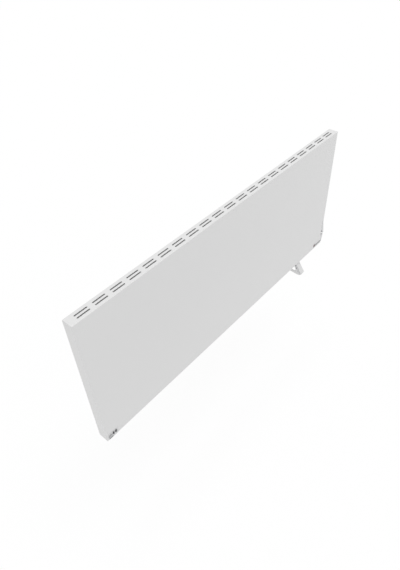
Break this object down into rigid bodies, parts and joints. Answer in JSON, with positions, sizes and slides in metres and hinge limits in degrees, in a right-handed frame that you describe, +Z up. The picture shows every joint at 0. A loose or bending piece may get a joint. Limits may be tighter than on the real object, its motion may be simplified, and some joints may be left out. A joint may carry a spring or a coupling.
{
  "type": "wall panel convector heater",
  "caption": "Slim white wall panel convector heater with a slotted top grille, a small corner control module, a side rocker and a locking arm below.",
  "frame": {"origin": "centre of the back face of the wall bracket, on the wall, at the panel's mid height and mid length", "axes": "+X along the panel to the right as seen from the front, +Y into the wall, +Z up"},
  "size_m": [1.214, 0.0747, 0.562],
  "materials": {
    "white_enamel": "fine satin white enamel",
    "zinc_steel": "zinc plated",
    "bare_aluminium": "mill finish",
    "dark_steel": "dark oxidised",
    "ceramic_bush": "unglazed",
    "dark_plastic": "fine matte",
    "grey_plastic": "fine matte",
    "light_plastic": "fine matte",
    "board_laminate": "green solder mask",
    "brass_fitting": "bright",
    "red_lens": "tinted lens",
    "pad_rubber": "matte"
  },
  "bodies": {
    "heater": {"arm_pin": "zinc_steel", "cable_gland": "dark_plastic", "control_bezel": "grey_plastic", "control_board": "board_laminate", "control_housing": "dark_plastic", "cover_screw_1": "zinc_steel", "cover_screw_2": "zinc_steel", "cover_screw_3": "zinc_steel", "cover_screw_4": "zinc_steel", "cover_screw_5": "zinc_steel", "cover_screw_6": "zinc_steel", "cover_screw_7": "zinc_steel", "cover_screw_8": "zinc_steel", "dial_encoder": "zinc_steel", "earth_stud": "brass_fitting", "element_hanger_1": "zinc_steel", "element_hanger_2": "zinc_steel", "element_hanger_3": "zinc_steel", "element_hanger_4": "zinc_steel", "element_left": "bare_aluminium", "element_right": "bare_aluminium", "element_rod_left": "dark_steel", "element_rod_right": "dark_steel", "front_shell": "white_enamel", "heat_shield": "bare_aluminium", "key_switch_left": "dark_plastic", "key_switch_right": "dark_plastic", "limit_thermostat": "dark_plastic", "rear_cover": "zinc_steel", "rod_bushing_1": "ceramic_bush", "rod_bushing_2": "ceramic_bush", "rod_bushing_3": "ceramic_bush", "rod_bushing_4": "ceramic_bush", "room_sensor": "brass_fitting", "sensor_holder": "light_plastic", "shield_screw_1": "zinc_steel", "shield_screw_2": "zinc_steel", "shield_screw_3": "zinc_steel", "shield_screw_4": "zinc_steel", "side_cap": "grey_plastic", "status_lamp": "red_lens", "status_strip": "dark_plastic", "switch_body": "dark_plastic", "terminal_block": "light_plastic", "wall_bracket": "white_enamel"},
    "dial": {"control_dial": "light_plastic"},
    "left_button": {"button_left": "dark_plastic"},
    "right_button": {"button_right": "dark_plastic"},
    "rocker": {"power_rocker": "grey_plastic"},
    "arm": {"lock_arm": "white_enamel", "arm_pad": "pad_rubber", "arm_rivet_1": "dark_steel", "arm_rivet_2": "dark_steel"}
  },
  "joints": [
    {"name": "dial_turn", "type": "hinge", "parent": "heater", "child": "dial", "pos_m": [-0.5854, -0.0582, -0.2352], "axis": [0, 1, 0], "range_deg": [-135, 135]},
    {"name": "left_button_push", "type": "slide", "parent": "heater", "child": "left_button", "axis": [0, 1, 0], "range_m": [0, 0.0009], "stiffness_N_per_m": 600},
    {"name": "right_button_push", "type": "slide", "parent": "heater", "child": "right_button", "axis": [0, 1, 0], "range_m": [0, 0.0009], "stiffness_N_per_m": 600},
    {"name": "rocker_tip", "type": "hinge", "parent": "heater", "child": "rocker", "pos_m": [0.5954, -0.048, -0.1756], "axis": [0, 1, 0], "range_deg": [0, 27]},
    {"name": "arm_swing", "type": "hinge", "parent": "heater", "child": "arm", "pos_m": [0.4385, -0.008, -0.3], "axis": [1, 0, 0], "range_deg": [0, 40]}
  ]
}
